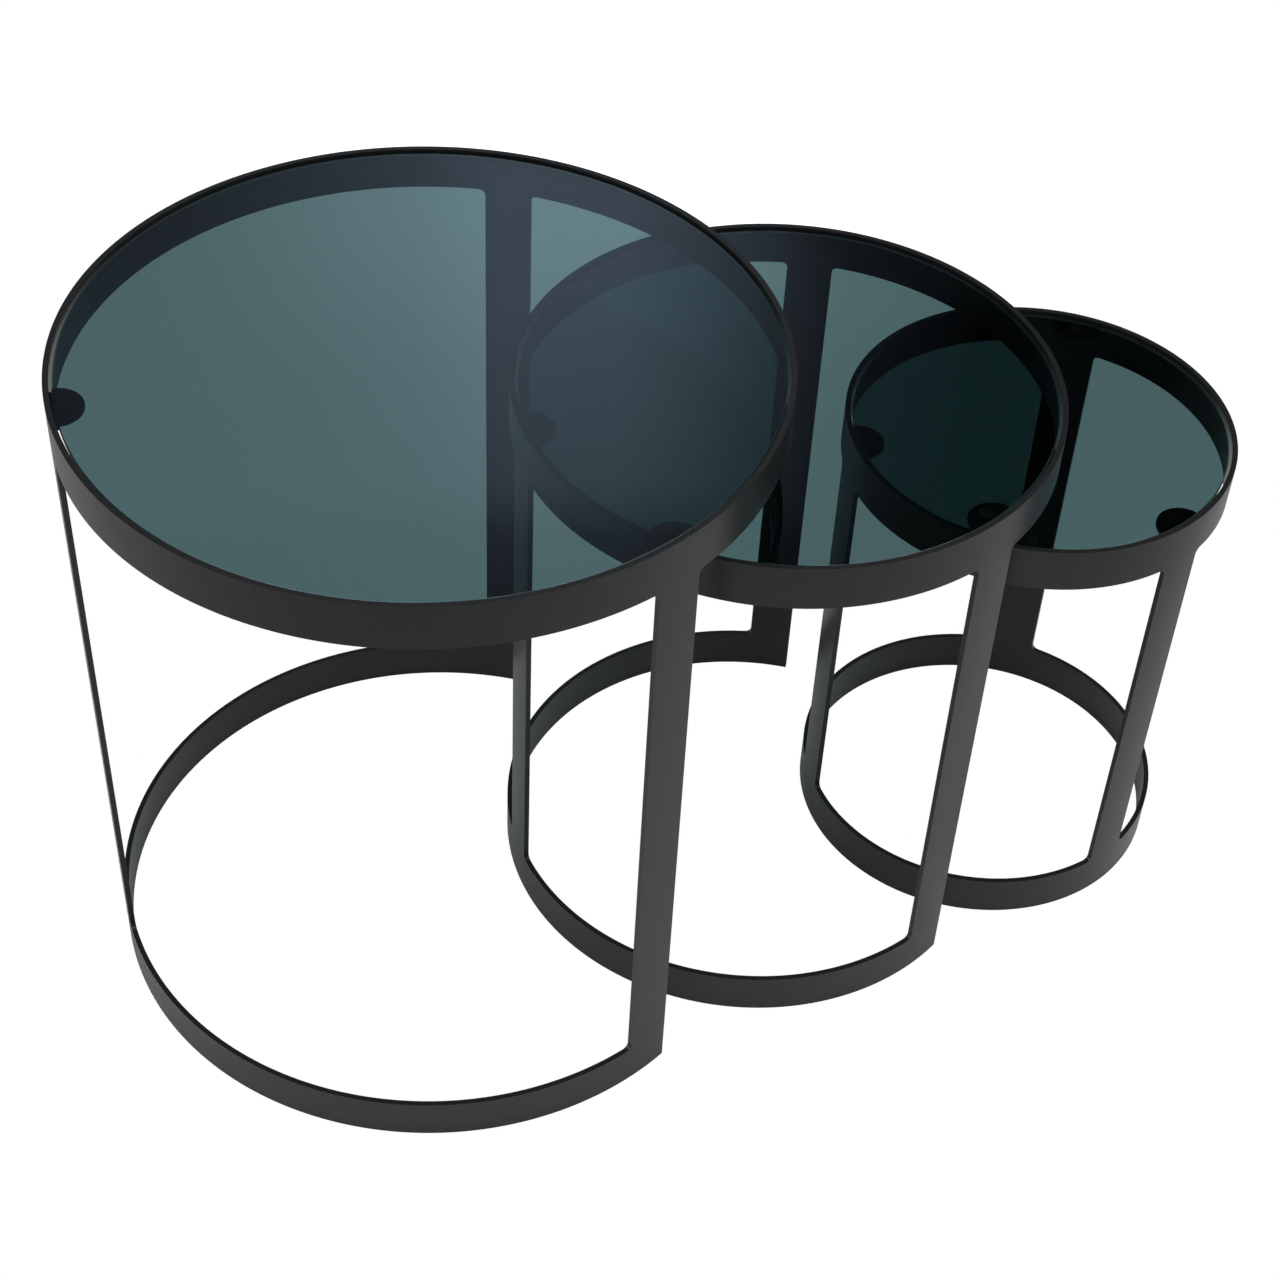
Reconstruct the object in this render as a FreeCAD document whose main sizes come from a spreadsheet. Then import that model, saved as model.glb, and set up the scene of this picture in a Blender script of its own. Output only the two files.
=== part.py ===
import FreeCAD, Part
import os

import Sketcher

# A set of three round nesting tables, millimetres, +Z up, standing on z = 0.
# Each table is a frame of flat steel bar on edge (a top ring, three legs and a
# base ring, all flush with one cylinder) with a glass disc lying inside the ring
# on three welded half-moon tabs and soft pads. The large and medium base rings
# are open on the +X side, so the next smaller table slides in between the two
# front legs. The tables are drawn pulled out in a row along +X, and the origin
# is under the middle of the whole row.

SIZES = {
    # large table
    "large_radius": 250.0,
    "large_height": 537.0,
    "large_turn": 0.6,
    # medium table: what is left free around and above it inside the large one
    "medium_side_gap": 47.5,
    "medium_headroom": 39.2,
    "medium_passage": 11.5,
    "medium_pull_out": 264.8,
    "medium_turn": 1.6,
    # small table: the same, inside the medium one
    "small_side_gap": 48.0,
    "small_headroom": 38.2,
    "small_passage": 19.3,
    "small_leg_angle": 60.0,
    "small_pull_out": 205.4,
    "small_side_offset": 3.0,
    "small_turn": 5.5,
    # flat bar, the same for rings and legs
    "bar_thickness": 4.0,
    "bar_width": 35.0,
    "edge_round": 0.6,
    "corner_radius": 5.0,
    "corner_toe": 0.5,
    # glass
    "glass_thickness": 5.0,
    "glass_recess": 2.0,
    "glass_gap": 1.8,
    "glass_edge": 0.6,
    # half-moon tabs and the pads on them
    "tab_radius": 19.0,
    "tab_stem": 3.0,
    "tab_thickness": 3.0,
    "rear_tab_turn": 1.4,
    "pad_radius": 6.0,
    "pad_thickness": 1.2,
    "pad_inset": 11.0,
    "pad_edge": 0.4,
}

doc = FreeCAD.newDocument("nesting_tables")
sheet = doc.addObject("Spreadsheet::Sheet", "Sizes")
for row, (alias, value) in enumerate(SIZES.items(), start=1):
    sheet.set(f"A{row}", alias)
    sheet.set(f"B{row}", str(value))
    sheet.setAlias(f"B{row}", alias)
doc.recompute()


def cell(alias):
    """The expression that reads one size from the sheet."""
    return f"Sizes.{alias}"


def angle(alias, sign=1):
    """The expression of an angle in degrees, turned the other way for sign -1."""
    return f"({sign} * {cell(alias)} * 1 deg)"


# how near two lengths are when they count as the same
NEAR = 0.01
BAR = cell("bar_thickness")
BAR_WIDTH = cell("bar_width")
# how far a leg's ends widen on each side, with a little flat left at the tip
FLARE = f"({cell('corner_radius')} + {cell('corner_toe')})"
# heights below a table's top edge
GLASS_BOTTOM = f"({cell('glass_recess')} + {cell('glass_thickness')})"
TAB_TOP = f"({GLASS_BOTTOM} + {cell('pad_thickness')})"
TAB_BOTTOM = f"({TAB_TOP} + {cell('tab_thickness')})"


def passage_angle(wall, passed, clearance):
    """How far a front leg stands from +X so that the next table passes beside it."""
    reach = f"asin(({passed} + {cell(clearance)}) / ({wall}))"
    half_leg = f"asin({BAR_WIDTH} / 2 / ({wall}))"
    return f"({reach} + {half_leg})"


class Table:
    """The expressions of one table: its sizes and where it stands."""

    def __init__(self, name, radius, height, centre, turn, leg_angle, opened):
        self.name = name
        self.radius = radius
        self.wall = f"({radius} - {BAR})"
        self.height = height
        self.centre = centre
        self.turn = turn
        self.leg_angle = leg_angle
        self.opened = opened

    def place(self, node, depth, azimuth="0 deg"):
        """Put a node depth below the table's top edge, turned about its axis."""
        x, y = self.centre
        at = f"vector({x}; {y}; {self.height} - {depth})"
        turned = f"rotation(vector(0; 0; 1); {self.turn} + {azimuth})"
        node.setExpression("Placement", f"placement({at}; {turned})")


def make_tables():
    large_radius = cell("large_radius")
    medium_radius = f"({large_radius} - {BAR} - {cell('medium_side_gap')})"
    small_radius = f"({medium_radius} - {BAR} - {cell('small_side_gap')})"
    large_height = cell("large_height")
    medium_height = f"({large_height} - {BAR_WIDTH} - {cell('medium_headroom')})"
    small_height = f"({medium_height} - {BAR_WIDTH} - {cell('small_headroom')})"
    row = f"({cell('medium_pull_out')} + {cell('small_pull_out')})"
    large_x = f"(({large_radius} - {small_radius} - {row}) / 2)"
    medium_x = f"({large_x} + {cell('medium_pull_out')})"
    small_x = f"({medium_x} + {cell('small_pull_out')})"
    small_y = f"(0 - {cell('small_side_offset')})"
    large_angle = passage_angle(f"{large_radius} - {BAR}", medium_radius, "medium_passage")
    medium_angle = passage_angle(f"{medium_radius} - {BAR}", small_radius, "small_passage")
    large_turn = angle("large_turn", -1)
    medium_turn = angle("medium_turn")
    small_turn = angle("small_turn", -1)
    small_angle = angle("small_leg_angle")
    return [
        Table("large", large_radius, large_height, (large_x, "0"), large_turn,
              large_angle, True),
        Table("medium", medium_radius, medium_height, (medium_x, "0"), medium_turn,
              medium_angle, True),
        Table("small", small_radius, small_height, (small_x, small_y), small_turn,
              small_angle, False),
    ]


# --- drawing helpers ---------------------------------------------------------


def new_body(label):
    body = doc.addObject("PartDesign::Body", label)
    body.Label = label
    return body


def new_sketch(body, plane):
    """A sketch on one of the body's own origin planes."""
    sketch = body.newObject("Sketcher::SketchObject", f"{body.Name}_sketch")
    for feature in body.Origin.OriginFeatures:
        if feature.Role == plane:
            sketch.AttachmentSupport = [(feature, "")]
    sketch.MapMode = "FlatFace"
    return sketch


def value_of(expression):
    """What an expression comes to now, as a plain number."""
    result = sheet.evalExpression(expression)
    return float(getattr(result, "Value", result))


def bind(sketch, kind, points, expression):
    """Add a sketch dimension whose value comes from the sheet."""
    constraint = Sketcher.Constraint(kind, *points, value_of(expression))
    index = sketch.addConstraint(constraint)
    sketch.setExpression(f"Constraints[{index}]", expression)


def draw_circle(sketch, radius, offset=None):
    """A circle about the origin, or at offset along the sketch's first axis."""
    centre = FreeCAD.Vector(value_of(offset) if offset else 0, 0, 0)
    curve = sketch.addGeometry(Part.Circle(centre, FreeCAD.Vector(0, 0, 1), value_of(radius)))
    if offset:
        sketch.addConstraint(Sketcher.Constraint("PointOnObject", curve, 3, -1))
        bind(sketch, "DistanceX", (-1, 1, curve, 3), offset)
    else:
        sketch.addConstraint(Sketcher.Constraint("Coincident", curve, 3, -1, 1))
    bind(sketch, "Radius", (curve,), radius)


def draw_polygon(sketch, corners):
    """A closed outline; each corner is (side, distance, side, distance) from the origin."""
    points = [
        FreeCAD.Vector(across * value_of(distance), up * value_of(rise), 0)
        for across, distance, up, rise in corners
    ]
    lines = [
        sketch.addGeometry(Part.LineSegment(start, end))
        for start, end in zip(points, points[1:] + points[:1])
    ]
    for line, following in zip(lines, lines[1:] + lines[:1]):
        sketch.addConstraint(Sketcher.Constraint("Coincident", line, 2, following, 1))
    for line, (across, distance, up, rise) in zip(lines, corners):
        for kind, sign, expression in (("DistanceX", across, distance), ("DistanceY", up, rise)):
            ends = (-1, 1, line, 1) if sign > 0 else (line, 1, -1, 1)
            bind(sketch, kind, ends, expression)


def pad(body, sketch, length):
    feature = body.newObject("PartDesign::Pad", f"{body.Name}_pad")
    feature.Profile = sketch
    feature.setExpression("Length", length)
    return feature


def pocket_up(body, sketch):
    """Cut upwards through everything above the sketch, and make sure it cut."""
    doc.recompute()
    before = body.Shape.Volume
    feature = body.newObject("PartDesign::Pocket", f"{body.Name}_pocket")
    feature.Profile = sketch
    feature.Type = "ThroughAll"
    feature.Reversed = True
    doc.recompute()
    if not body.Shape.Volume < before:
        raise RuntimeError(f"{body.Label}: the pocket cut nothing")
    return feature


def round_edges(body, radius, chosen):
    """Fillet the edges of the body so far that chosen(edge) picks."""
    doc.recompute()
    base = body.Tip
    names = [f"Edge{n}" for n, edge in enumerate(base.Shape.Edges, start=1) if chosen(edge)]
    if not names:
        raise RuntimeError(f"{body.Label}: no edge to round")
    feature = body.newObject("PartDesign::Fillet", f"{body.Name}_fillet")
    feature.Base = (base, names)
    feature.setExpression("Radius", radius)
    return feature


def is_circle(edge):
    return isinstance(edge.Curve, Part.Circle)


# --- the pieces --------------------------------------------------------------


def make_top_ring(table):
    """The ring of flat bar round the glass, with its top edges eased."""
    body = new_body(f"{table.name}_top_ring")
    sketch = new_sketch(body, "XY_Plane")
    draw_circle(sketch, table.radius)
    draw_circle(sketch, table.wall)
    pad(body, sketch, BAR_WIDTH)
    top = sheet.get("bar_width")
    round_edges(body, cell("edge_round"), lambda e: is_circle(e) and e.CenterOfMass.z > top / 2)
    table.place(body, BAR_WIDTH)
    return body


def make_base_ring(table):
    """The ring on the floor, open between the front legs where a table slides in."""
    body = new_body(f"{table.name}_base_ring")
    sketch = new_sketch(body, "XY_Plane")
    draw_circle(sketch, table.radius)
    draw_circle(sketch, table.wall)
    pad(body, sketch, BAR_WIDTH)
    if table.opened:
        # both cut faces lie flush with the front legs' edges
        apex = f"({BAR_WIDTH} / 2 / sin({table.leg_angle}))"
        near, far = f"({table.radius} / 2)", f"({table.radius} * 2)"
        across, up = f"cos({table.leg_angle})", f"sin({table.leg_angle})"
        corners = [
            (1, f"{apex} + {near} * {across}", 1, f"{near} * {up}"),
            (1, f"{apex} + {far} * {across}", 1, f"{far} * {up}"),
            (1, f"{apex} + {far}", 1, f"{far} * {up}"),
            (1, f"{apex} + {far}", -1, f"{far} * {up}"),
            (1, f"{apex} + {far} * {across}", -1, f"{far} * {up}"),
            (1, f"{apex} + {near} * {across}", -1, f"{near} * {up}"),
        ]
        opening = new_sketch(body, "XY_Plane")
        draw_polygon(opening, corners)
        pocket_up(body, opening)
    table.place(body, table.height)
    return body


def make_leg(table, side, azimuth, flares):
    """A leg between the rings: a strip of the same cylinder with flared ends.

    flares says whether the foot widens towards the sketch's left and right.
    """
    body = new_body(f"{table.name}_leg_{side}")
    half = f"{BAR_WIDTH} / 2"
    wide = f"{BAR_WIDTH} / 2 + {FLARE}"
    foot, foot_toe = BAR_WIDTH, f"{BAR_WIDTH} + {cell('corner_toe')}"
    head = f"{table.height} - {BAR_WIDTH}"
    head_toe = f"{head} - {cell('corner_toe')}"

    def edge(sign, flared):
        """The corners of one side of the leg, from the foot up."""
        low = [(sign, wide, 1, foot), (sign, wide, 1, foot_toe), (sign, half, 1, foot_toe)]
        if not flared:
            low = [(sign, half, 1, foot)]
        high = [(sign, half, 1, head_toe), (sign, wide, 1, head_toe), (sign, wide, 1, head)]
        return low + high

    left, right = flares
    outline = edge(1, right) + edge(-1, left)[::-1]
    sketch = new_sketch(body, "YZ_Plane")
    draw_polygon(sketch, outline)
    pad(body, sketch, f"{table.radius} + {BAR}")
    doc.recompute()
    half_width = sheet.get("bar_width") / 2
    bounds = body.Shape.BoundBox

    def inner_corner(e):
        along = e.BoundBox.XLength > bounds.XLength / 2
        at_side = abs(abs(e.CenterOfMass.y) - half_width) < NEAR
        inside = bounds.ZMin + NEAR < e.CenterOfMass.z < bounds.ZMax - NEAR
        return along and at_side and inside

    round_edges(body, cell("corner_radius"), inner_corner)
    # what remains is the wall between the two cylinders
    trim = new_sketch(body, "XY_Plane")
    draw_circle(trim, table.wall)
    draw_circle(trim, table.radius)
    draw_circle(trim, f"{table.radius} * 2")
    pocket_up(body, trim)
    table.place(body, table.height, azimuth)
    return body


def make_tab(table, side, azimuth):
    """A half-moon plate on a short stem, welded to the inside of the ring."""
    body = new_body(f"{table.name}_tab_{side}")
    sketch = new_sketch(body, "XY_Plane")
    draw_circle(sketch, cell("tab_radius"), offset=f"{table.wall} - {cell('tab_stem')}")
    pad(body, sketch, cell("tab_thickness"))
    trim = new_sketch(body, "XY_Plane")
    draw_circle(trim, table.wall)
    draw_circle(trim, f"{table.radius} * 2")
    pocket_up(body, trim)
    table.place(body, TAB_BOTTOM, azimuth)
    return body


def make_pad(table, side, azimuth):
    """A soft disc on a tab, which the glass lies on."""
    body = new_body(f"{table.name}_pad_{side}")
    sketch = new_sketch(body, "XY_Plane")
    draw_circle(sketch, cell("pad_radius"), offset=f"{table.wall} - {cell('pad_inset')}")
    pad(body, sketch, cell("pad_thickness"))
    top = sheet.get("pad_thickness")
    round_edges(body, cell("pad_edge"), lambda e: is_circle(e) and e.CenterOfMass.z > top / 2)
    table.place(body, TAB_TOP, azimuth)
    return body


def make_glass(table):
    """The loose glass disc, its edges ground."""
    body = new_body(f"{table.name}_glass_top")
    sketch = new_sketch(body, "XY_Plane")
    draw_circle(sketch, f"{table.wall} - {cell('glass_gap')}")
    pad(body, sketch, cell("glass_thickness"))
    round_edges(body, cell("glass_edge"), is_circle)
    table.place(body, GLASS_BOTTOM)
    return body


def make_table(table):
    nodes = [make_top_ring(table), make_base_ring(table)]
    # left and right are seen from behind the rear leg, looking along +X
    legs = [
        ("rear", "180 deg", angle("rear_tab_turn", -1), (True, True)),
        ("left", table.leg_angle, "0 deg", (not table.opened, True)),
        ("right", f"(0 deg - {table.leg_angle})", "0 deg", (True, not table.opened)),
    ]
    for side, azimuth, tab_turn, flares in legs:
        nodes.append(make_leg(table, side, azimuth, flares))
        nodes.append(make_tab(table, side, f"{azimuth} + {tab_turn}"))
        nodes.append(make_pad(table, side, f"{azimuth} + {tab_turn}"))
    nodes.append(make_glass(table))
    return nodes


nodes = []
for table in make_tables():
    nodes += make_table(table)
doc.recompute()

for item in doc.Objects:
    if "Invalid" in item.State or "Error" in item.State:
        raise RuntimeError(f"{item.Label}: {item.State}")
for node in nodes:
    if node.Shape.isNull() or not node.Shape.isValid():
        raise RuntimeError(f"{node.Label}: bad shape")

os.makedirs("parts", exist_ok=True)
for node in nodes:
    node.Shape.exportStep(f"parts/{node.Label}.step")
    print(node.Label, round(node.Shape.Volume), "mm3")
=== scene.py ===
"""Three round nesting tables: flat-bar frames with black powder coat and smoked glass tops."""

import math

import bmesh
import bpy
from mathutils import Matrix, Vector


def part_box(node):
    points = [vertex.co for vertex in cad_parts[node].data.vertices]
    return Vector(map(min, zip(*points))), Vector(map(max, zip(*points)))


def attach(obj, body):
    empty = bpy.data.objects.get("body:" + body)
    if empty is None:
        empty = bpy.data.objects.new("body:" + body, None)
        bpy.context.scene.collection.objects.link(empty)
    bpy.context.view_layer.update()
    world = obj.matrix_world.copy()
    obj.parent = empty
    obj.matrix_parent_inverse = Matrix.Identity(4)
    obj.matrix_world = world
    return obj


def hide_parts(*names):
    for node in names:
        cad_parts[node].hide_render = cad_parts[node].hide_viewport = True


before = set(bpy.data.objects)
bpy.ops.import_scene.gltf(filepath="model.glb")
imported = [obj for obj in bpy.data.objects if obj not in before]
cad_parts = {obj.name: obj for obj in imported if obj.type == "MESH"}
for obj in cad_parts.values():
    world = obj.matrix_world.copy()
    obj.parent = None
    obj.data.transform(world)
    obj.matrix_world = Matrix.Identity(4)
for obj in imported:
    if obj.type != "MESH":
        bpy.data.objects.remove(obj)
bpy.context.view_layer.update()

MM = 0.001
TABLES = ("large", "medium", "small")
SIDES = ("rear", "left", "right")

# The bar, the way the tables are turned (degrees) and the rounding of edges; every other
# size is read from the CAD boxes.
BAR = 4.0 * MM
BAR_WIDTH = 35.0 * MM
TURNS = {"large": -0.6, "medium": 1.6, "small": -5.5}
CORNER_RADIUS = 5.0 * MM
CORNER_STEPS = 6
BAR_EDGE = 0.5 * MM
GLASS_EDGE = 0.7 * MM
TAB_EDGE = 0.4 * MM
PAD_EDGE = 0.5 * MM
SHARP = math.radians(35)
SMOOTH = math.radians(40)

# How finely round things are divided.
COLUMNS = {"large": 240, "medium": 200, "small": 160}
PAD_COLUMNS = 40

# Points nearer than these are one point.
SAME = 0.1 * MM
MERGE = 0.01 * MM
TAB_MERGE = 0.005 * MM
# Faces that are this near to one plane are one face, a face is level when its normal stands
# up this much, and every window between two legs is larger than this, in square metres.
ONE_PLANE = math.radians(1)
LEVEL = 0.95
SMALLEST_WINDOW = 0.001

# ---------------------------------------------------------------------------
# Modelling helpers


def active(piece):
    """Make a piece the only selected object."""
    bpy.ops.object.select_all(action="DESELECT")
    piece.select_set(True)
    bpy.context.view_layer.objects.active = piece


def named(name):
    """Name the object that was just added, and its mesh."""
    piece = bpy.context.object
    piece.name = piece.data.name = name
    return piece


def settle(piece):
    """Put a piece's place, turn and scale into its mesh."""
    active(piece)
    bpy.ops.object.transform_apply(location=True, rotation=True, scale=True)


def edit(piece):
    """Go into edit mode with everything selected."""
    active(piece)
    bpy.ops.object.mode_set(mode="EDIT")
    bpy.ops.mesh.select_all(action="SELECT")


def done():
    """Leave edit mode."""
    bpy.ops.object.mode_set(mode="OBJECT")


def pick(piece, kind, chosen):
    """In edit mode, select just the verts, edges or faces that chosen(element) picks."""
    bpy.ops.mesh.select_mode(type={"verts": "VERT", "edges": "EDGE", "faces": "FACE"}[kind])
    bpy.ops.mesh.select_all(action="DESELECT")
    shape = bmesh.from_edit_mesh(piece.data)
    for element in getattr(shape, kind):
        element.select_set(bool(chosen(element)))
    bmesh.update_edit_mesh(piece.data)


def cut(at, normal, **clear):
    """Cut everything in edit mode along a plane."""
    bpy.ops.mesh.select_all(action="SELECT")
    bpy.ops.mesh.bisect(plane_co=at, plane_no=normal, **clear)


def modify(piece, kind, **settings):
    """Add a modifier, set it up and apply it."""
    active(piece)
    modifier = piece.modifiers.new(kind.title(), kind)
    for name, value in settings.items():
        setattr(modifier, name, value)
    bpy.ops.object.modifier_apply(modifier=modifier.name)


def ease(piece, width, segments=2):
    """Round the sharp edges a little."""
    modify(piece, "BEVEL", width=width, segments=segments, limit_method="ANGLE",
           angle_limit=SHARP, use_clamp_overlap=True)


def smooth(piece):
    """Smooth shading with flat faces kept flat."""
    active(piece)
    bpy.ops.object.shade_smooth_by_angle(angle=SMOOTH)
    modify(piece, "WEIGHTED_NORMAL", keep_sharp=True)


def copy_of(piece, name):
    """A copy of a piece under its own name."""
    active(piece)
    bpy.ops.object.duplicate()
    return named(name)


def finish_piece(piece, body, material, node):
    """Give a piece its material and body, and hide the CAD node it stands for."""
    if not piece.data.materials:
        piece.data.materials.append(material)
    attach(piece, body)
    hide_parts(node)


# ---------------------------------------------------------------------------
# Sizes read from the CAD


def radius_of(low, high):
    """The radius of a round piece that fills its box."""
    return max(high[0] - low[0], high[1] - low[1]) / 2


class Table:
    """Where one table stands and how big it is, from its CAD boxes."""

    def __init__(self, name):
        self.name = name
        low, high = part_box(f"{name}_top_ring")
        self.centre = ((low[0] + high[0]) / 2, (low[1] + high[1]) / 2)
        self.radius = radius_of(low, high)
        self.ring_bottom, self.height = low[2], high[2]
        self.base_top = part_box(f"{name}_base_ring")[1][2]
        self.turn = math.radians(TURNS[name])
        # the front legs' angle from the opening, from where the left leg stands
        low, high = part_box(f"{name}_leg_left")
        left = Vector(((low[0] + high[0]) / 2, (low[1] + high[1]) / 2)) - Vector(self.centre)
        self.leg_angle = math.atan2(left.y, left.x) - self.turn
        # the base rings of the two larger tables are open in front, for the next table
        self.opened = name != "small"

    def stand(self, piece):
        """Move a piece from its own axis at the origin to the table's place."""
        piece.rotation_euler = (0, 0, self.turn)
        piece.location = (*self.centre, 0)
        settle(piece)


# ---------------------------------------------------------------------------
# Frames


def flat_frame(table):
    """The frame's outer face unrolled flat: rings and legs with rounded inner corners.

    x runs round the table from the middle of the rear leg, z is up.
    """
    length = 2 * math.pi * table.radius
    bpy.ops.mesh.primitive_plane_add(
        size=1, rotation=(math.pi / 2, 0, 0), location=(0, 0, table.height / 2))
    strip = named(f"{table.name}_frame")
    strip.scale = (length, table.height, 1)
    settle(strip)
    half = BAR_WIDTH / 2
    front = table.radius * (math.pi - table.leg_angle)
    legs = (-front, 0, front)
    edges = [x + side for x in legs for side in (-half, half)]
    edit(strip)
    for x in edges:
        cut((x, 0, 0), (1, 0, 0))
    for z in (table.base_top, table.ring_bottom):
        cut((0, 0, z), (0, 0, 1))

    def near(value, places):
        """Whether a value is at one of these places."""
        return any(abs(value - place) < SAME for place in places)

    def window_corner(vertex):
        """Whether a vertex is an inner corner between a leg and a ring."""
        high = near(vertex.co.z, (table.ring_bottom,))
        low = near(vertex.co.z, (table.base_top,))
        if table.opened and near(vertex.co.x, (edges[0], edges[-1])):
            low = False
        return near(vertex.co.x, edges) and (high or low)

    pick(strip, "verts", window_corner)
    bpy.ops.mesh.bevel(
        offset=CORNER_RADIUS, offset_type="OFFSET", segments=CORNER_STEPS, affect="VERTICES")

    def empty(face):
        """Whether a face is a window between legs or the opening in the base ring."""
        middle = face.calc_center_bounds()
        if table.opened and middle.z < table.base_top and abs(middle.x) > front + half:
            return True
        between = table.base_top < middle.z < table.ring_bottom
        beside = all(abs(middle.x - x) > half for x in legs)
        return between and beside and face.calc_area() > SMALLEST_WINDOW

    pick(strip, "faces", empty)
    bpy.ops.mesh.delete(type="FACE")
    columns = COLUMNS[table.name]
    for column in range(1, columns):
        cut((length * (column / columns - 0.5), 0, 0), (1, 0, 0))
    done()
    return strip


def rolled_frame(table):
    """The whole welded frame: the flat one given its thickness, eased and rolled round."""
    bar = flat_frame(table)
    end = math.pi * table.radius
    modify(bar, "SOLIDIFY", thickness=BAR, offset=-1)
    edit(bar)
    pick(bar, "faces", lambda face: abs(abs(face.calc_center_bounds().x) - end) < MERGE)
    bpy.ops.mesh.delete(type="FACE")
    done()
    ease(bar, BAR_EDGE)
    modify(bar, "SIMPLE_DEFORM", deform_method="BEND", deform_axis="Z", angle=2 * math.pi)
    edit(bar)
    bpy.ops.mesh.remove_doubles(threshold=MERGE)
    bpy.ops.transform.translate(value=(0, -table.radius, 0))
    done()
    bar.rotation_euler = (0, 0, -math.pi / 2)
    settle(bar)
    return bar


def mean_place(piece):
    """The mean of a piece's vertices."""
    vertices = piece.data.vertices
    return sum((vertex.co for vertex in vertices), Vector()) / len(vertices)


def make_frame(table, material):
    """The frame, parted where each leg meets the rings, so that every bar is its own piece."""
    whole = rolled_frame(table)
    body = f"{table.name}_table"
    # the cuts are just past the rounded corners
    joint = CORNER_RADIUS + MM
    head, foot = table.ring_bottom - joint, table.base_top + joint
    up = (0, 0, 1)

    ring = copy_of(whole, f"{table.name}_rim")
    edit(ring)
    cut((0, 0, head), up, clear_inner=True, use_fill=True)
    done()
    base = copy_of(whole, f"{table.name}_foot_hoop")
    edit(base)
    cut((0, 0, foot), up, clear_outer=True, use_fill=True)
    done()
    edit(whole)
    cut((0, 0, head), up, clear_outer=True, use_fill=True)
    cut((0, 0, foot), up, clear_inner=True, use_fill=True)
    bpy.ops.mesh.separate(type="LOOSE")
    done()
    bars = list(bpy.context.selected_objects)
    azimuths = {"rear": math.pi, "left": table.leg_angle, "right": -table.leg_angle}
    parts = [(ring, f"{table.name}_top_ring"), (base, f"{table.name}_base_ring")]
    for side in SIDES:
        toward = Vector((math.cos(azimuths[side]), math.sin(azimuths[side]), 0))
        leg = max(bars, key=lambda bar: mean_place(bar).dot(toward))
        leg.name = leg.data.name = f"{table.name}_{side}_upright"
        parts.append((leg, f"{table.name}_leg_{side}"))
    for piece, node in parts:
        table.stand(piece)
        smooth(piece)
        finish_piece(piece, body, material, node)


# ---------------------------------------------------------------------------
# Glass, tabs and pads


def make_glass(table, glass, edge):
    """The disc: polished faces, ground edge."""
    node = f"{table.name}_glass_top"
    low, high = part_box(node)
    bpy.ops.mesh.primitive_cylinder_add(
        vertices=COLUMNS[table.name], radius=radius_of(low, high), depth=high[2] - low[2],
        location=(*table.centre, (low[2] + high[2]) / 2))
    disc = named(f"{table.name}_glass_disc")
    settle(disc)
    ease(disc, GLASS_EDGE, segments=3)
    disc.data.materials.append(glass)
    disc.data.materials.append(edge)
    for face in disc.data.polygons:
        face.material_index = 0 if abs(face.normal.z) > LEVEL else 1
    smooth(disc)
    finish_piece(disc, f"{table.name}_glass", glass, node)


def make_tab(table, side, material):
    """A half-moon plate with eased edges."""
    node = f"{table.name}_tab_{side}"
    plate = copy_of(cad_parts[node], f"{table.name}_{side}_half_moon")
    edit(plate)
    bpy.ops.mesh.remove_doubles(threshold=TAB_MERGE)
    bpy.ops.mesh.dissolve_limited(angle_limit=ONE_PLANE)
    done()
    plate.data.materials.clear()
    ease(plate, TAB_EDGE)
    smooth(plate)
    finish_piece(plate, f"{table.name}_table", material, node)


def make_pad(table, side, material):
    """A soft round bumper with rounded edges, between tab and glass."""
    node = f"{table.name}_pad_{side}"
    low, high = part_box(node)
    middle = (low[0] + high[0]) / 2, (low[1] + high[1]) / 2, (low[2] + high[2]) / 2
    bpy.ops.mesh.primitive_cylinder_add(
        vertices=PAD_COLUMNS, radius=(high[0] - low[0]) / 2, depth=high[2] - low[2],
        location=middle)
    bumper = named(f"{table.name}_{side}_bumper")
    settle(bumper)
    ease(bumper, PAD_EDGE, segments=3)
    smooth(bumper)
    finish_piece(bumper, f"{table.name}_table", material, node)


# ---------------------------------------------------------------------------
# Materials


class Value:
    """A node's output; sums and products of outputs add the Math nodes."""

    def __init__(self, shader, socket):
        self.shader, self.socket = shader, socket

    def combine(self, operation, other):
        """The Math node of this and another value or number."""
        return self.shader.node("Math", {"operation": operation}, {0: self, 1: other})

    def __add__(self, other):
        return self.combine("ADD", other)

    def __mul__(self, other):
        return self.combine("MULTIPLY", other)

    __radd__, __rmul__ = __add__, __mul__


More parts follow.
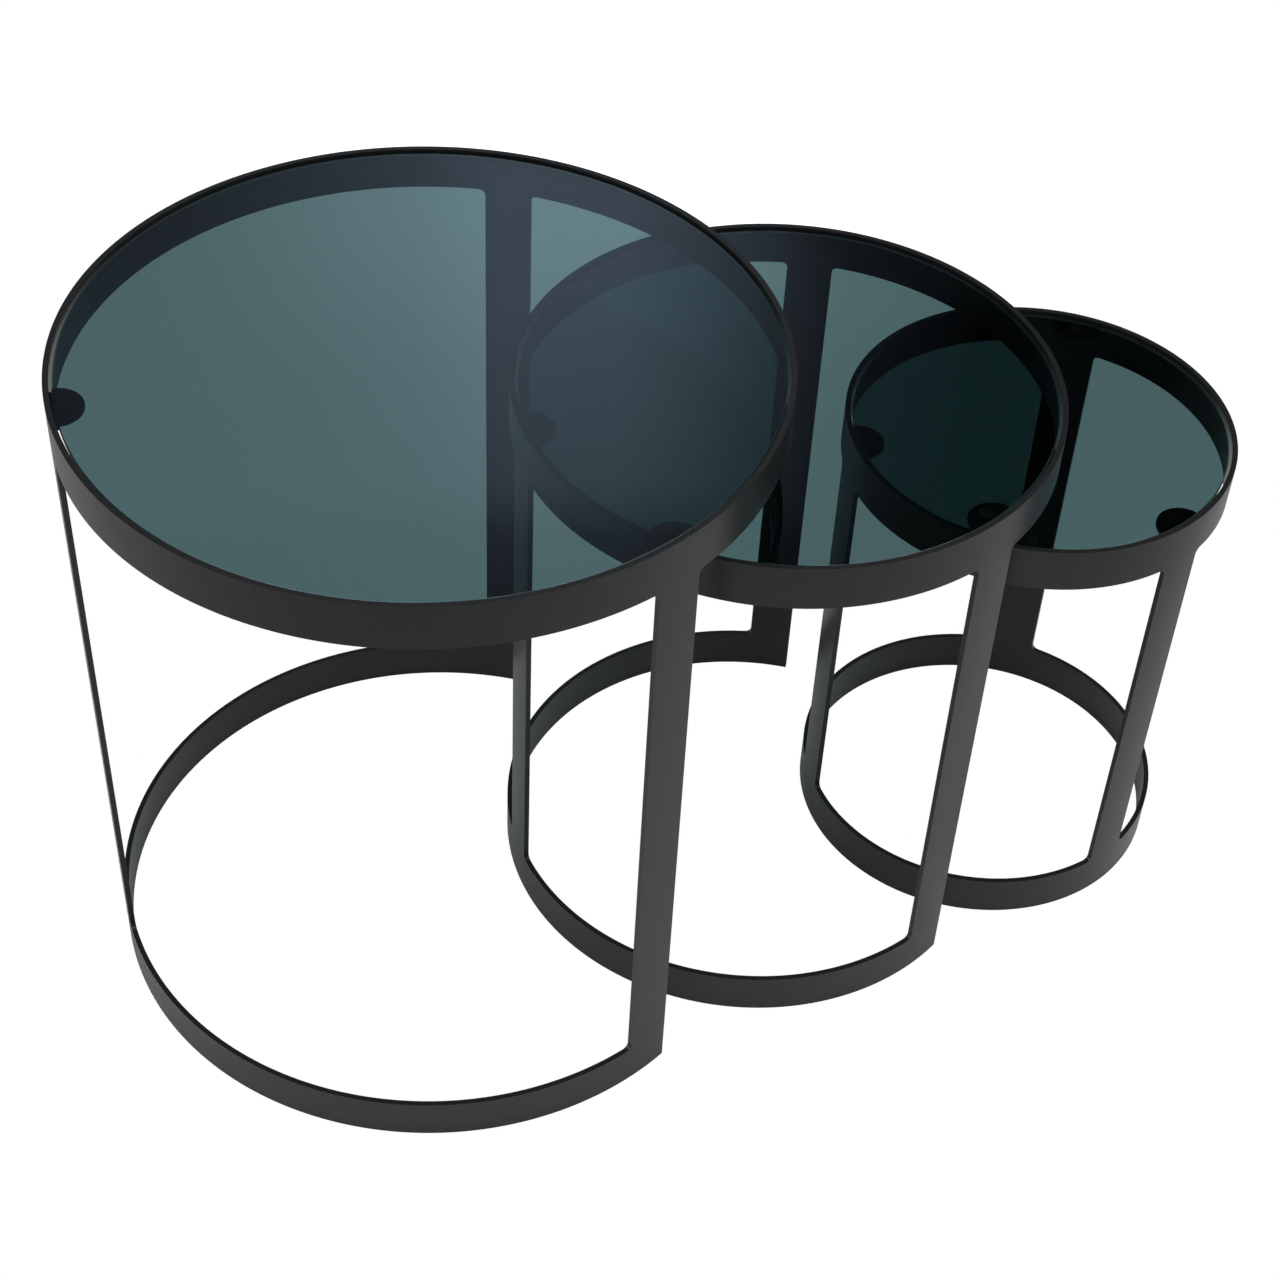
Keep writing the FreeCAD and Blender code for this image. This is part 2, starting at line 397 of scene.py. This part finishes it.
class Shader:
    """A node tree that is built by calls."""

    def __init__(self, tree):
        self.tree = tree
        tree.nodes.clear()

    def node(self, kind, settings=None, inputs=None, output=0):
        """Add a node: its settings first, then its sockets' values or links."""
        made = self.tree.nodes.new(f"ShaderNode{kind}")
        for name, value in (settings or {}).items():
            if name == "stops":
                self.set_stops(made.color_ramp, value)
            else:
                setattr(made, name, value)
        for key, value in (inputs or {}).items():
            socket = made.inputs[key]
            if isinstance(value, Value):
                self.tree.links.new(value.socket, socket)
            else:
                socket.default_value = value
        return Value(self, made.outputs[output]) if made.outputs else None

    @staticmethod
    def set_stops(ramp, stops):
        """Give a colour ramp its stops, as (position, colour)."""
        while len(ramp.elements) < len(stops):
            ramp.elements.new(1.0)
        for element, (position, colour) in zip(ramp.elements, stops):
            element.position, element.color = position, colour

    def mix(self, factor, first, second):
        """A colour between two colours."""
        settings = {"data_type": "RGBA"}
        return self.node("Mix", settings, {0: factor, 6: first, 7: second}, output=2)

    def noise(self, place, scale, detail):
        """Cloudy grey, scale clouds to the metre."""
        return self.node("TexNoise", None, {"Vector": place, "Scale": scale, "Detail": detail})

    def bump(self, height, strength, depth):
        """A normal from a height, depth in metres."""
        inputs = {"Strength": strength, "Distance": depth, "Height": height}
        return self.node("Bump", None, inputs)

    def map_range(self, value, start, end, ease="LINEAR"):
        """A number that goes from start's level to end's, each given as (value, level)."""
        return self.node("MapRange", {"interpolation_type": ease}, {
            "Value": value,
            "From Min": start[0],
            "From Max": end[0],
            "To Min": start[1],
            "To Max": end[1],
        })

    def distance(self, place, other):
        """How far a place is from another."""
        ends = {"Vector": place, 1: other}
        return self.node("VectorMath", {"operation": "DISTANCE"}, ends, output="Value")

    def ray(self, *kinds):
        """1 where the light's last step was of one of these kinds."""
        first, *others = [self.node("LightPath", output=f"Is {kind} Ray") for kind in kinds]
        for other in others:
            first = self.node("Math", {"operation": "MAXIMUM"}, {0: first, 1: other})
        return first


def new_material(name):
    """An empty material, its shader and the Object coordinates."""
    material = bpy.data.materials.new(name)
    material.use_nodes = True
    shader = Shader(material.node_tree)
    return material, shader, shader.node("TexCoord", output="Object")


def grey(level):
    """An even grey as a colour."""
    return (level, level, level, 1.0)


def powder_coat():
    """Fine-textured black powder coat on steel bar."""
    material, shader, place = new_material("black_powder_coat")
    cloud = shader.noise(place, scale=14.0, detail=3.0)
    peel = shader.noise(place, scale=700.0, detail=2.0)
    grain = shader.noise(place, scale=2200.0, detail=1.0)
    tone = shader.mix(cloud, (0.0075, 0.0077, 0.0080, 1), (0.0105, 0.0107, 0.0110, 1))
    colour = shader.mix(grain * 0.5, tone, (0.0150, 0.0152, 0.0156, 1))
    height = peel * 0.7 + grain * 0.3
    surface = shader.node("BsdfPrincipled", None, {
        "Base Color": colour,
        "Roughness": cloud * 0.05 + peel * 0.07 + 0.27,
        "Specular IOR Level": 0.36,
        "Normal": shader.bump(height, strength=0.25, depth=0.12 * MM),
    })
    shader.node("OutputMaterial", None, {"Surface": surface})
    return material


def smoked_glass():
    """Grey-green tinted float glass."""
    material, shader, place = new_material("smoked_glass")
    drift = shader.noise(place, scale=5.0, detail=1.0)
    colour = shader.mix(drift, (0.069, 0.127, 0.132, 1), (0.073, 0.133, 0.138, 1))
    pane = shader.node("BsdfPrincipled", None, {
        "Base Color": colour,
        "Roughness": 0.0,
        "IOR": 1.5,
        "Transmission Weight": 1.0,
    })
    passed = shader.node("BsdfTransparent", None, {"Color": (0.71, 0.74, 0.745, 1)})
    surface = shader.node("MixShader", None, {0: shader.ray("Shadow"), 1: pane, 2: passed})
    shader.node("OutputMaterial", None, {"Surface": surface})
    return material


def ground_edge():
    """The glass's edge, ground and part polished."""
    material, shader, place = new_material("ground_glass_edge")
    grain = shader.noise(place, scale=1500.0, detail=2.0)
    colour = shader.mix(grain, (0.020, 0.045, 0.045, 1), (0.035, 0.065, 0.066, 1))
    surface = shader.node("BsdfPrincipled", None, {
        "Base Color": colour,
        "Roughness": grain * 0.1 + 0.25,
        "Normal": shader.bump(grain, strength=0.2, depth=0.1 * MM),
    })
    shader.node("OutputMaterial", None, {"Surface": surface})
    return material


def black_rubber():
    """Dull black rubber of the bumpers."""
    material, shader, place = new_material("black_rubber")
    cloud = shader.noise(place, scale=300.0, detail=2.0)
    colour = shader.mix(cloud, (0.0085, 0.0087, 0.0090, 1), (0.0125, 0.0127, 0.0130, 1))
    surface = shader.node("BsdfPrincipled", None, {
        "Base Color": colour,
        "Roughness": cloud * 0.1 + 0.28,
        "Normal": shader.bump(cloud, strength=0.2, depth=0.1 * MM),
    })
    shader.node("OutputMaterial", None, {"Surface": surface})
    return material


# ---------------------------------------------------------------------------
# Studio


FLOOR_SIZE = 60.0
FLOOR_DROP = 0.2 * MM
POOL_PLACE = (0.25, 1.02, 0.0)
PAINTED_POOL_MIDDLE = (0.08, 0.0, 0.0)


def make_floor():
    """White where it is looked at, straight or through glass, with a pool of more light.

    As a source of light it is grey paper with the tables' shadows on it and a painted pool of
    light, palest round its middle.
    """
    bpy.ops.mesh.primitive_plane_add(size=FLOOR_SIZE, location=(0, 0, -FLOOR_DROP))
    floor = named("studio_floor")
    settle(floor)
    material, shader, place = new_material("studio_white")
    from_pool = shader.distance(place, POOL_PLACE)
    bright = shader.map_range(from_pool, (0.0, 1.45), (0.64, 1.0), "SMOOTHERSTEP")
    seen = shader.node("Emission", None, {"Color": bright, "Strength": 1.0})
    from_middle = shader.distance(place, PAINTED_POOL_MIDDLE)
    # painted light: the paper's colour is palest near the middle and greyer farther out, a pool
    # of light painted into it
    pale = shader.map_range(from_middle, (0.3, 0.95), (1.0, 0.65), "SMOOTHSTEP")
    paper = shader.node("BsdfDiffuse", None, {"Color": pale})
    looked_at = shader.ray("Camera", "Transmission")
    surface = shader.node("MixShader", None, {0: looked_at, 1: paper, 2: seen})
    shader.node("OutputMaterial", None, {"Surface": surface})
    floor.data.materials.append(material)


def band(shader, value, low, high, stops):
    """A grey level that runs through the stops as value goes from low to high."""
    places = [((place - low) / (high - low), grey(level)) for place, level in stops]
    run = shader.map_range(value, (low, 0.0), (high, 1.0))
    return shader.node("ValToRGB", {"stops": places}, {0: run})


def make_world():
    """White where it is looked at; in the glass and the frames it is a room.

    It has pale walls low down, is dim above them, and has one soft cool panel behind the
    tables. Heights are the sine of the elevation, and azimuths are in degrees.
    """
    world = bpy.data.worlds.new("studio")
    bpy.context.scene.world = world
    world.use_nodes = True
    shader = Shader(world.node_tree)
    toward = shader.node("TexCoord", output="Generated")
    x, y, z = (
        shader.node("SeparateXYZ", None, {0: toward}, output=axis) for axis in range(3))
    walls = band(shader, z, 0.0, 1.0, [
        (0.0, 0.32), (0.30, 0.25), (0.48, 0.006), (0.85, 0.006), (1.0, 0.05)])
    azimuth = shader.node("Math", {"operation": "ARCTAN2"}, {0: y, 1: x}) * math.degrees(1)
    across = band(shader, azimuth, 60, 100, [
        (62, 0.0), (66, 0.10), (68, 0.36), (70, 0.68), (72, 0.96), (75.5, 1.0), (78, 0.62),
        (80, 0.48), (82, 0.36), (84, 0.28), (88, 0.22), (98, 0.0)])
    upward = band(shader, z, 0.0, 1.0, [
        (0.44, 0.0), (0.52, 0.95), (0.588, 1.0), (0.609, 0.93), (0.625, 0.88), (0.640, 0.80),
        (0.648, 0.60), (0.656, 0.36), (0.669, 0.26), (0.707, 0.10), (0.76, 0.0)])
    light = shader.mix(across * upward, walls, (0.57, 0.73, 0.96, 1))
    studio = shader.node("Background", None, {"Color": light, "Strength": 1.0})
    seen = shader.node("Background", None, {"Color": grey(1.0), "Strength": 1.0})
    surface = shader.node("MixShader", None, {0: shader.ray("Camera"), 1: studio, 2: seen})
    shader.node("OutputWorld", None, {"Surface": surface})


def make_light(name, place, target, size, power, colour):
    """An oblong soft lamp at a place, aimed at another, of so many watts."""
    bpy.ops.object.light_add(type="AREA", location=place)
    lamp = bpy.context.object
    lamp.name = name
    lamp.data.shape = "RECTANGLE"
    lamp.data.size, lamp.data.size_y = size
    lamp.data.energy = power
    lamp.data.color = colour
    aim = Vector(target) - Vector(place)
    lamp.rotation_euler = aim.to_track_quat("-Z", "Y").to_euler()


def make_lights():
    """A softbox low on each side and two overhead, warm on the left and cool on the right."""
    upright, ceiling = (1.2, 1.6), (1.6, 3.0)
    make_light("left_softbox", (-2.6, 0.3, 0.5), (0, 0, 0.15), upright, 24, (1, 0.985, 0.94))
    make_light("right_softbox", (2.7, -0.9, 0.7), (0.2, 0, 0.2), upright, 26, (0.93, 0.97, 1))
    make_light("overhead_left", (-0.9, -0.6, 2.8), (-0.9, -0.6, 0), ceiling, 42, (1, 0.99, 0.96))
    make_light("overhead_right", (0.9, -0.6, 2.8), (0.9, -0.6, 0), ceiling, 42, (0.96, 0.98, 1))


# The camera's place in metres and its turn in degrees; a shift is in widths of the picture.
CAMERA_PLACE = (-0.4690, -1.3119, 1.5451)
CAMERA_AZIMUTH = -17.90
CAMERA_ELEVATION = 45.72
CAMERA_ROLL = 2.52
LENS_MM = 69.81
SENSOR_MM = 36.0
CAMERA_SHIFT = (0.0288, 0.0781)


def make_camera():
    """The camera, in front of the tables and above them, a little to the left."""
    bpy.ops.object.camera_add()
    camera = bpy.context.object
    azimuth, elevation, roll = (
        math.radians(angle) for angle in (CAMERA_AZIMUTH, CAMERA_ELEVATION, CAMERA_ROLL))
    level = math.cos(elevation)
    back = Vector((math.sin(azimuth) * level, -math.cos(azimuth) * level, math.sin(elevation)))
    right = Vector((0, 0, 1)).cross(back).normalized()
    up = back.cross(right)
    turned_right = math.cos(roll) * right + math.sin(roll) * up
    turned_up = math.cos(roll) * up - math.sin(roll) * right
    axes = Matrix((turned_right, turned_up, back)).transposed()
    camera.matrix_world = Matrix.Translation(CAMERA_PLACE) @ axes.to_4x4()
    camera.data.sensor_width = SENSOR_MM
    camera.data.lens = LENS_MM
    camera.data.shift_x, camera.data.shift_y = CAMERA_SHIFT
    bpy.context.scene.camera = camera


# ---------------------------------------------------------------------------
# The three tables in their studio

coat, glass, edge, rubber = powder_coat(), smoked_glass(), ground_edge(), black_rubber()
for name in TABLES:
    table = Table(name)
    make_frame(table, coat)
    make_glass(table, glass, edge)
    for side in SIDES:
        make_tab(table, side, coat)
        make_pad(table, side, rubber)

make_floor()
make_world()
make_lights()
make_camera()
bpy.context.scene.view_settings.view_transform = "Standard"
